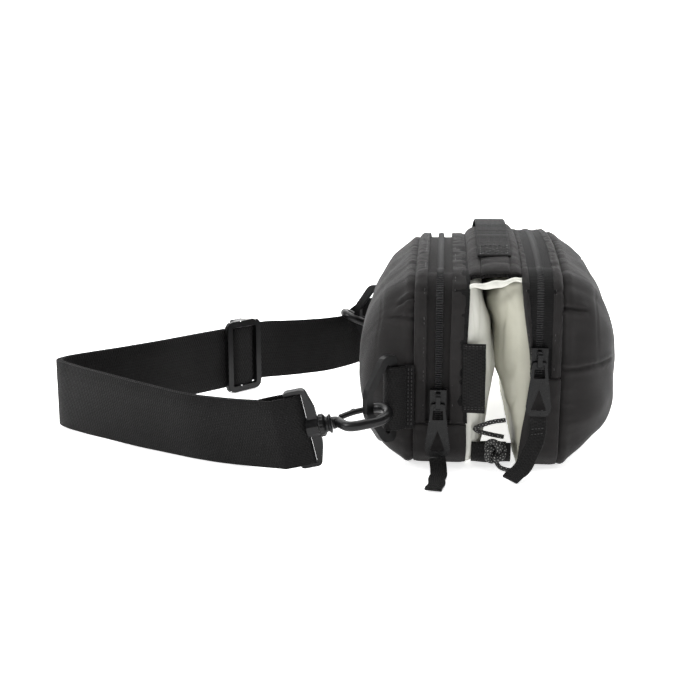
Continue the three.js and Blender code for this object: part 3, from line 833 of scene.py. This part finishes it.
def bridge_lift(u, s):
    """The padded bridge: a hump between its two seams, flatter at its ends."""
    middle = math.sin(math.pi * share(BRIDGE_START, BRIDGE_STOP, s))
    across = (4 * u * (1 - u)) ** 0.55
    channel = 1.1 * (bump(u, 0.24, 0.035) + bump(u, 0.8, 0.035))
    wrinkle = 0.5 * ripple(s * 0.11, u * 3, 21) + 0.3 * ripple(s * 0.35, u * 6, 22)
    edge = 1.2 * (math.exp(-(u / 0.05) ** 2) + math.exp(-((1 - u) / 0.05) ** 2))
    return 1.0 + across * (1.6 + 5.2 * middle ** 0.7) - channel + wrinkle - edge


def bridge_lift_at(x, s):
    return bridge_lift((x - BACK["inner"]) / (FRONT["inner"] - BACK["inner"]), s)


def make_bridge():
    low, high = BRIDGE_LOW, BRIDGE_HIGH
    piece = make_strip("bridge_padding", high, low, BRIDGE_START, BRIDGE_STOP,
                       lambda u, s: bridge_lift(1 - u, s), 1.6, 40)
    settle(piece, BOTH_HALVES, "softshell", "bridge_panel")
    for end, s, step in (("near", BRIDGE_START, 1), ("far", BRIDGE_STOP, -1)):
        route = [Vector(on_outline(low + (high - low) * i / 16, s + step * 0.4, bridge_lift(i / 16, s) - 0.7))
                 for i in range(17)]
        make_tube("bridge_binding_" + end, route, 1.5, WEBBING, BOTH_HALVES, "softshell", sides=10)
    line = around(100, BRIDGE_START + 3, BRIDGE_STOP - 3)
    seams = [([on_outline(x, s, bridge_lift_at(x, s) + 0.15) for s in line], outward_normals(line))
             for x in (-6.6, -3.2, 12.6, 16.0)]
    make_stitches("bridge_stitching", seams, BOTH_HALVES)


def crown_height(y):
    return END_HEIGHT + CROWN_RISE * max(0.0, 1 - (y / (HALF_LENGTH - TOP_CORNER)) ** 2)


def make_handle():
    reach, step = 92, 2
    route = []
    for y in range(-reach, reach + 1, step):
        s = near_height(WALL_TOP) + 0.5 * math.pi * TOP_CORNER + y + HALF_LENGTH - TOP_CORNER
        hump = bridge_lift(0.5, s) + crown_puff(CENTRE, s)
        slack = 2.1 * math.cos(math.pi * y / 120) ** 2 if abs(y) < 60 else 0.0
        route.append(Vector((CENTRE, y, crown_height(y) + hump + 2.0 + slack)))
    make_ribbon("handle_webbing", route, 22, 1.7, [SIDEWAYS] * len(route), RIBBED, "root", "grab_handle")
    seams = []
    for start, stop in ((1, 8), (84, 91)):
        near, far = route[start], route[stop]
        corners = [Vector((CENTRE + x, end.y, end.z + 1.0))
                   for end, x in ((near, -9), (near, 9), (far, 9), (far, -9))]
        for a, b in ((0, 1), (1, 2), (2, 3), (3, 0), (0, 2), (1, 3)):
            seams.append(([corners[a], corners[b]], [UP] * 2))
    make_stitches("handle_stitching", seams, "root", "webbing")


def make_hem():
    """The sleeve's cream hem, a soft rolled edge under the bridge's near end."""
    width, steps, sides = 33, 32, 12
    rows = []
    for i in range(steps + 1):
        x = -12.4 + width * i / steps
        top = 123.6 + 0.07 * (x + 12) + 0.5 * math.sin(x * 0.5)
        depth = 4.0 + 1.2 * math.sin(x * 0.23 + 0.8)
        ring = []
        for j in range(sides):
            angle = 2 * math.pi * j / sides
            ring.append((x, -119.8 - 1.5 * math.cos(angle) - 0.5 * math.sin(x * 0.7),
                         top - depth / 2 + depth / 2 * math.sin(angle) + 0.09 * (x - CENTRE)))
        rows.append(ring)
    uvs = [[(row[0][0], j * 1.2) for j in range(sides)] for row in rows]
    piece = make_grid("sleeve_hem_roll", rows, LINING, uvs, ring=True)
    cap_ends(piece)
    settle(piece, BOTH_HALVES, "lining", "sleeve_hem")


def make_pull_tab():
    """Ribbed webbing folded over the lining's edge, bar-tacked top and bottom."""
    low, high = 38, 85
    route = []
    for z in range(low, high + 1, 2):
        bulge = 1.2 * math.sin(math.pi * (z - low) / (high - low))
        route.append(Vector((-8.5 + 0.4 * ripple(z * 0.05), -124.2 - bulge, z)))
    make_ribbon("pull_tab_webbing", route, 15, 1.6, [SIDEWAYS] * len(route), RIBBED, "root", "sleeve_pull_tab")
    seams = [([Vector((-15, -125.1, z)), Vector((-2, -125.1, z))], [NEARWARD] * 2)
             for z in (low + 2.5, low + 4.0, high - 4.0, high - 2.5)]
    make_stitches("pull_tab_stitching", seams, "root", "webbing", 1.9, 2.3)


def make_bottom_strip():
    start = near_height(17)

    def lift(u, s):
        return -1.9 + 0.8 * ripple(s * 0.1, u * 2, 31) - 0.6 * abs(u - 0.5)

    piece = make_strip("bottom_webbing", 17, -9, start - 68, start, lift, 1.2, 16, RIBBED)
    settle(piece, BOTH_HALVES, "softshell", "bottom_strip")


def make_cords():
    front, radius = -HALF_LENGTH, 1.5
    lace = [(13, 1.4, 33), (4, 1.2, 31.5), (-6, 1.4, 27.5), (-7.2, 1.3, 26.5), (-6, 1.4, 25.5), (4, 1.2, 23),
            (12, 1.4, 21.5)]
    route = smooth_route([(x, front + inward - 1.2, z) for x, inward, z in lace], 0.8)
    piece = make_tube("lacing", route, radius, CORD, BOTH_HALVES, "cord", "shock_cord")
    knot = []
    for i in range(90):
        turn = 4 * math.pi * i / 90
        reach = 4.2 + 1.7 * math.cos(1.5 * turn)
        knot.append(Vector((6 + reach * math.cos(turn), front - 6.4 + 2.4 * math.sin(1.5 * turn),
                            13.5 + reach * math.sin(turn) * 1.2)))
    make_tube("knot", knot, 2.1, CORD, "root", "cord", "cord_knot", closed=True)
    tail = smooth_route([(7, front - 6.2, 9.5), (7.6, front - 6.4, 5.6), (9.5, front - 7.2, 3.1),
                         (13.5, front - 8.8, 2.0), (17.5, front - 9.8, 1.8)], 0.8)
    make_tube("loose_end", tail, radius, CORD, "root", "cord", "cord_tail")


# ---- Rings, tabs and hooks ----
class Hook:
    """A snap hook's own axes: along its shank, across it in the plane of its eye, and up."""

    def __init__(self, eye, shank, roll, gate_side, lean_full, lean_reach):
        self.eye, self.shank = Vector(eye), Vector(shank).normalized()
        level = UP.cross(self.shank).normalized()
        self.flat = Matrix.Rotation(roll, 3, self.shank) @ level
        self.up = self.shank.cross(self.flat)
        self.gate_side, self.lean_full, self.lean_reach = gate_side, lean_full, lean_reach

    def at(self, along, across, up=0.0):
        return self.eye + self.shank * along + self.flat * across + self.up * up

    def path(self, points, step):
        return smooth_route([self.at(along, across * self.gate_side) for along, across in points], step)


NEAR_HOOK = Hook((-73.5, -143.8, 40), (-0.98, -0.05, -0.205), -0.2, -1, 70, 200)
FAR_HOOK = Hook((-108.1, 140.8, 54), (0.87, 0.34, -0.38), 0.1, 1, 20, 120)
FRAME_BAR, SWIVEL_START, EYE = 50.5, 26.5, 10.5
NEAR_BAR, FAR_BAR = (-62, -128, 48), (-86, 128, 56)


def make_hook(name, hook):
    bar, gate = name + "_hook", name + "_gate"
    body = [(26.3, 0), (23, 0), (19.8, -4.4), (16, -8.9), (11.5, -10.5), (4, -10.6)]
    turns = [-math.pi / 2 - math.pi * i / 8 for i in range(9)]
    body += [(EYE * math.cos(a), EYE * math.sin(a)) for a in turns] + [(3.4, EYE)]
    path = hook.path(body, 0.9)

    def radius(i):
        along = i / len(path)
        return 3.35 * (1 - 0.22 * smooth_step(0.82, 1.0, along)) + 0.9 * (1 - smooth_step(0.0, 0.09, along))

    make_tube(name + "_hook_body", path, radius, PLASTIC, bar, "plastic", bar, sides=20)
    latch = hook.path([(4.8, 10.4), (9, 10.2), (14, 9.3), (21.6, 6.1)], 0.7)
    make_tube(name + "_gate_bar", latch, 1.95, PLASTIC, gate, "plastic", gate, sides=14)
    thumb = [hook.at(10 + 4.8 * t, (11.2 - 1.5 * t + 1.3 * math.sin(math.pi * t)) * hook.gate_side)
             for t in around(10, 0, 1)]
    make_tube(name + "_gate_thumb", thumb, lambda i: 0.5 + 1.15 * math.sin(math.pi * (i + 0.5) / 11), PLASTIC,
              gate, "plastic")


def make_barrel(name, hook):
    """The swivel's stepped and knurled collar."""
    profile = [(0, 3.1), (0, 5.8), (0.4, 6.3), (1.3, 6.3), (1.7, 5.5), (2.2, 5.1), (3.2, 5.1), (3.7, 5.5),
               (4.1, 6.2), (4.9, 7.2), (5.3, 7.5), (7.5, 7.5), (7.85, 7.1), (7.85, 0.4)]
    count, knurl = 72, 0.35
    rows, uvs = [], []
    for along, radius in profile:
        ring = []
        for j in range(count):
            angle = 2 * math.pi * j / count
            reach = radius - knurl * (j % 4 < 2) * (radius > 7.4)
            ring.append(hook.at(SWIVEL_START + 0.3 + along, reach * math.cos(angle), reach * math.sin(angle)))
        rows.append(ring)
        uvs.append([(along, j * 0.6) for j in range(count)])
    piece = make_grid(name + "_barrel_collar", rows, PLASTIC, uvs, ring=True)
    cap_ends(piece)
    soften(piece, 0.25, 2)
    settle(piece, name + "_hook", "plastic", name + "_swivel_barrel")


def make_tab(name, bar, tail, side):
    """A webbing loop through the ring, sewn to the bag's end in two layers."""
    bar = Vector(bar)
    points = [(tail, 4.5), (tail * 0.6, 4.6), (3, 4.7)]
    turns = [math.pi * (0.55 + 0.9 * i / 8) for i in range(9)]
    points += [(4.75 * math.cos(a), 4.75 * math.sin(a)) for a in turns]
    points += [(3, -3.7), (8.5, 0.8), (tail * 0.62, 2.5), (tail - 0.4, 2.7)]
    route = smooth_route([bar + Vector((x, y * side, 0)) for x, y in points], 1.0)
    ups = [Vector((0.02 * ripple(p.x * 0.1), 0, 1)) for p in route]
    make_ribbon(name + "_tab_webbing", route, 42.6, 1.5, ups, RIBBED, "root", name + "_ring_tab")
    seams = [([bar + Vector((tail - gap, 1.6 * side, z)) for z in (-19, 19)], [NEARWARD * side] * 2)
             for gap in (2.0, 4.2)]
    make_stitches(name + "_tab_stitching", seams, "root", "webbing", 2.0, 2.6)


# ---- Strap ----
SLIDE_START, SLIDE_HEADING = Vector((-232, 38.6)), Vector((0.588, 0.809)).normalized()
SLIDE_HEIGHT, TRIGLIDE_AT, LAYER_GAP, STRAP_CENTRE = 30.7, 50.0, 2.4, 26.0
STRAP_THICKNESS, STRAP_STEP = 1.6, 2.5


def slide_point(distance):
    return Vector((*(SLIDE_START + SLIDE_HEADING * distance), SLIDE_HEIGHT))


def bar_loop(hook, side, reach):
    """The webbing's turn round a strap frame's bar."""
    radius, turn = 3.4 * side, FRAME_BAR - 2.5
    turns = [math.pi * (0.5 + i / 10) for i in range(11)]
    points = [(reach, radius), ((reach + turn + 8) / 2, radius), (turn + 8, radius)]
    points += [(turn + 5.3 * math.cos(a), radius * math.sin(a)) for a in turns] + [(turn + 8, -radius)]
    return [hook.at(along, across) for along, across in points]


def strap_up(point):
    """The strap's edge stands upright, and leans with each hook close to it."""
    up = UP
    for hook in (NEAR_HOOK, FAR_HOOK):
        distance = (hook.at(FRAME_BAR, 0) - point).length
        up = up.lerp(hook.up, share(hook.lean_reach, hook.lean_full, distance))
    return up.normalized()


def make_strap():
    c = STRAP_CENTRE
    far_turn = FAR_HOOK.at(4, 19)
    stops = [NEAR_HOOK.at(62, 3.4), (-168, -137, c - 1.5), (-192, -128, c - 1.5), (-213, -117.5, c - 1.3),
             (-240, -102, c - 0.8), (-268, -85, c), (-296, -65, c), (-313, -50.5, c), (-317.5, -43, c),
             (-315, -33, c), (-300, -20, c + 1), (-276, -4, c + 2.5), (-254, 13, c + 4)]
    stops += [slide_point(26 * i) for i in range(4)]
    stops += [(-172, 117, c + 3), (-153, 131, c + 2), (-131, 146, c + 2), (far_turn.x, far_turn.y, 31),
              FAR_HOOK.at(30, 17), FAR_HOOK.at(52, 15), FAR_HOOK.at(74, 10.5)]
    outer = smooth_route(stops, STRAP_STEP)
    for i in range(8, len(outer) - 16):
        along = STRAP_STEP * i * 0.024
        outer[i] = outer[i] + Vector((1.3 * ripple(along, 1, 41), 1.3 * ripple(along, 9, 41), 0))
    glide = slide_point(TRIGLIDE_AT)
    inner = []
    for i in range(3, len(outer)):
        step = outer[i] - outer[i - 1]
        inward = Vector((step.y, -step.x, 0)).normalized()
        loose = 1 + 0.35 * ripple(i * 0.05, 4, 43)
        inner.append(outer[i] + inward * LAYER_GAP * loose)
        if (outer[i] - glide).length < 8:
            break
    far = bar_loop(FAR_HOOK, 1, 66) + [FAR_HOOK.at(72, -3.4)]
    route = inner[::-1] + bar_loop(NEAR_HOOK, -1, 68) + outer + far
    make_ribbon("waist_webbing", route, 50, STRAP_THICKNESS, [strap_up(p) for p in route], WEBBING, "strap",
                "strap_webbing")


def make_triglide_fold():
    """The webbing's doubled part, pushed forward by the tri-glide's centre bar."""
    heading = SLIDE_HEADING.to_3d()
    inward = Vector((heading.y, -heading.x, 0))
    reach, height = 11.5, 4.0
    rising = [reach, 11.2, 10.6, 9.6, 8, 6, 3]
    route = []
    for x in [-x for x in rising] + [0] + rising[::-1]:
        lift = STRAP_THICKNESS + height * (1 - (x / reach) ** 4) ** 0.6
        route.append(slide_point(TRIGLIDE_AT) + heading * x + inward * lift)
    make_ribbon("triglide_fold", route, 49.4, STRAP_THICKNESS, [UP] * len(route), WEBBING, "triglide")


# ---- Puller tails ----
def make_tail(name, stops, width):
    """Ribbed tape pulled through the puller plate and sewn to itself, crinkled from use. Its width is its
    seed too, so two tails crinkle differently if their widths differ a little."""
    body, seed = name + "_puller", width
    lifted, across = [], []
    for i, point in enumerate(smooth_route(stops, 1.2)):
        free = smooth_step(4, 14, i)
        lifted.append(point + Vector((0.9 * ripple(i * 0.12, 2, seed) * free, -0.6 * free,
                                      0.55 * free * (1 + ripple(i * 0.22, 5, seed)))))
        across.append(Vector((1, 0.22 * ripple(i * 0.07, 1, seed), 0.25 * ripple(i * 0.06, 7, seed))))
    make_ribbon(name + "_tail_tape", lifted, width, 1.7, across, RIBBED, body, name + "_puller_tail",
                crown=0.35)
    seams = [([lifted[i] + across[i] * reach + NEARWARD * 1.2 for reach in (-4.2, 4.2)], [NEARWARD] * 2)
             for i in (6, 9)]
    make_stitches(name + "_tail_stitching", seams, body, "webbing", 1.6, 2.0)


# ---- CAD hardware that stays: rounded edges and its own finish ----
def finish_hardware():
    plastic = {"near_ring": 1.4, "far_ring": 1.4, "near_strap_frame": 1.2, "far_strap_frame": 1.2,
               "triglide": 1.5}
    metal = {"back_slider": 0.7, "front_slider": 0.7, "back_puller_plate": 0.4, "front_puller_plate": 0.4}
    for material, widths in ((PLASTIC, plastic), (METAL, metal)):
        for name, width in widths.items():
            piece = nodes[name]
            piece.data.materials.clear()
            piece.data.materials.append(material)
            piece.data.shade_smooth()
            if name == "triglide":
                swell = piece.modifiers.new("moulded_thickness", "DISPLACE")
                swell.strength, swell.mid_level = 0.5 * MM, 0.0
            soften(piece, width, 3)


# ---- Build the bag ----
def level_seam(height, reach):
    """A sewn seam that crosses the panel's near end at one height, with puckered lips."""

    def lift(s, depth, point):
        line = point.z - height - 0.05 * depth + 0.4 * ripple(depth * 0.2, 3, height)
        fade = smooth_step(20, -30, point.y) * smooth_step(reach, reach - 14, depth)
        puckers = 0.3 * bump(line, 0, 6) * ripple(depth * 0.45, line * 0.1, height)
        return fade * (0.6 * bump(abs(line), 3.0, 1.9) - 1.25 * bump(line, 0, 0.8) + puckers)

    return lift


def dart(s0, lean, reach):
    """A short sewn fold that runs into the panel from its edge."""

    def lift(s, depth, point):
        line = s - s0 - lean * depth
        fade = smooth_step(reach, reach * 0.6, depth)
        return fade * (1.2 * bump(abs(line), 3.0, 2.0) - 2.0 * bump(line, 0, 0.9))

    return lift


def edge_crease(inset, width):
    """The soft standing edge where the panel's border turns into its face, with a line of top-stitching."""

    def lift(s, depth, point):
        near = smooth_step(near_height(60), near_height(112), s)
        far = smooth_step(far_height(60), far_height(112), s)
        return near * far * (0.8 * bump(depth, inset, width) - 0.55 * bump(depth, inset + 4, 0.9))

    return lift


# How far each dome falls back near its top and near the table, and the seams sewn into it.
BACK_SHAPE = {"top": 0.62, "base": 0.35, "seams": [
    dart(near_height(100), 0.25, 24), dart(near_height(114), -0.1, 17), edge_crease(26, 7)]}
FRONT_SHAPE = {"top": 0.3, "base": 0.75, "seams": [
    level_seam(68, 58), dart(near_height(108), 0.1, 21), edge_crease(24, 7)]}

for half, shape in ((BACK, BACK_SHAPE), (FRONT, FRONT_SHAPE)):
    make_outer_panel(half, shape)
    make_zip_panel(half)
    make_base_panel(half)
    make_zip(half)
    make_cushion(half)
    edge = half["seam"] - half["side"] * 0.6
    near, far = near_height(half["split"]), far_height(half["split"])
    make_seam_band(half["name"] + "_near_cross_seam", edge, inner_edge(half, near), near, half["body"])
    make_seam_band(half["name"] + "_far_cross_seam", half["inner"], edge, far, half["body"])

make_bridge()
make_handle()
make_hem()
make_pull_tab()
make_bottom_strip()
make_cords()
for name, hook in (("near", NEAR_HOOK), ("far", FAR_HOOK)):
    make_hook(name, hook)
    make_barrel(name, hook)
make_tab("near", NEAR_BAR, 15, 1)
make_tab("far", FAR_BAR, 30, -1)
make_strap()
make_triglide_fold()
make_tail("back", [(-31.5, -132.1, 9.1), (-30.7, -134.5, 4.6), (-30.3, -141, 2.1), (-31, -155, 1.4),
                   (-33, -174, 1.3)], 11)
make_tail("front", [(33, -132.1, 38.1), (32.6, -135, 28), (28.5, -140, 16), (21, -147, 6),
                    (15, -153, 2.2)], 11.01)
finish_hardware()


# ---- Camera, floor and lights ----
WHITE = (1, 1, 1, 1)
LENS, SENSOR = 55.5, 36.0
YAW, PITCH = math.radians(5.0), math.radians(11.7)


def look_along(thing, direction):
    thing.rotation_euler = Vector(direction).to_track_quat("-Z", "Y").to_euler()


def make_camera():
    data = bpy.data.cameras.new("camera")
    data.lens, data.sensor_width = LENS, SENSOR
    camera = add_object("camera", data)
    camera.location = (0.001, -0.814, 0.222)
    look_along(camera, (-math.sin(YAW) * math.cos(PITCH), math.cos(YAW) * math.cos(PITCH), -math.sin(PITCH)))
    bpy.context.scene.camera = camera


def set_inputs(node, **values):
    for key, value in values.items():
        node.inputs[key.replace("_", " ")].default_value = value


def stage_plane(name, location, tilt, **values):
    """A large plane that glows a little, so that it stays white."""
    bpy.ops.mesh.primitive_plane_add(size=8, location=location, rotation=(tilt, 0, 0))
    plane = bpy.context.object
    plane.name = name
    material = bpy.data.materials.new(name)
    material.use_nodes = True
    set_inputs(material.node_tree.nodes["Principled BSDF"], Emission_Color=WHITE, **values)
    plane.data.materials.append(material)
    return plane


def make_floor():
    floor = stage_plane("floor", (0, -2.9, -0.0004), 0.0, Base_Color=(0.96, 0.96, 0.96, 1), Roughness=0.9,
                        Specular_IOR_Level=0.1, Emission_Strength=0.72)
    backdrop = stage_plane("backdrop", (0, 1.1, 3.9), math.radians(90), Emission_Strength=1.0)


def area_light(name, place, aim, size, power):
    data = bpy.data.lights.new(name, "AREA")
    data.shape, data.size, data.energy = "DISK", size, power
    light = add_object(name, data)
    light.location = place
    look_along(light, Vector(aim) - Vector(place))


def make_surround():
    """A soft low light from all round, while the empty background looks white like the floor."""
    world = bpy.data.worlds.new("studio")
    bpy.context.scene.world = world
    world.use_nodes = True
    tree = world.node_tree
    seen, path, mix = (tree.nodes.new("ShaderNode" + kind) for kind in ("Background", "LightPath", "MixShader"))
    set_inputs(tree.nodes["Background"], Color=WHITE, Strength=0.25)
    set_inputs(seen, Color=WHITE, Strength=1.0)
    tree.links.new(path.outputs["Is Camera Ray"], mix.inputs[0])
    tree.links.new(tree.nodes["Background"].outputs[0], mix.inputs[1])
    tree.links.new(seen.outputs[0], mix.inputs[2])
    tree.links.new(mix.outputs[0], tree.nodes["World Output"].inputs["Surface"])


def make_lights():
    area_light("key", (-1.35, -0.6, 0.95), (0, 0, 0.05), 0.5, 13)
    area_light("top", (0.05, 0.15, 1.6), (0, 0, 0.05), 1.3, 17)
    area_light("rim", (1.2, 0.5, 0.9), (0.05, 0, 0.08), 0.6, 6)


make_camera()
make_floor()
make_surround()
make_lights()
bpy.context.scene.view_settings.view_transform = "Standard"
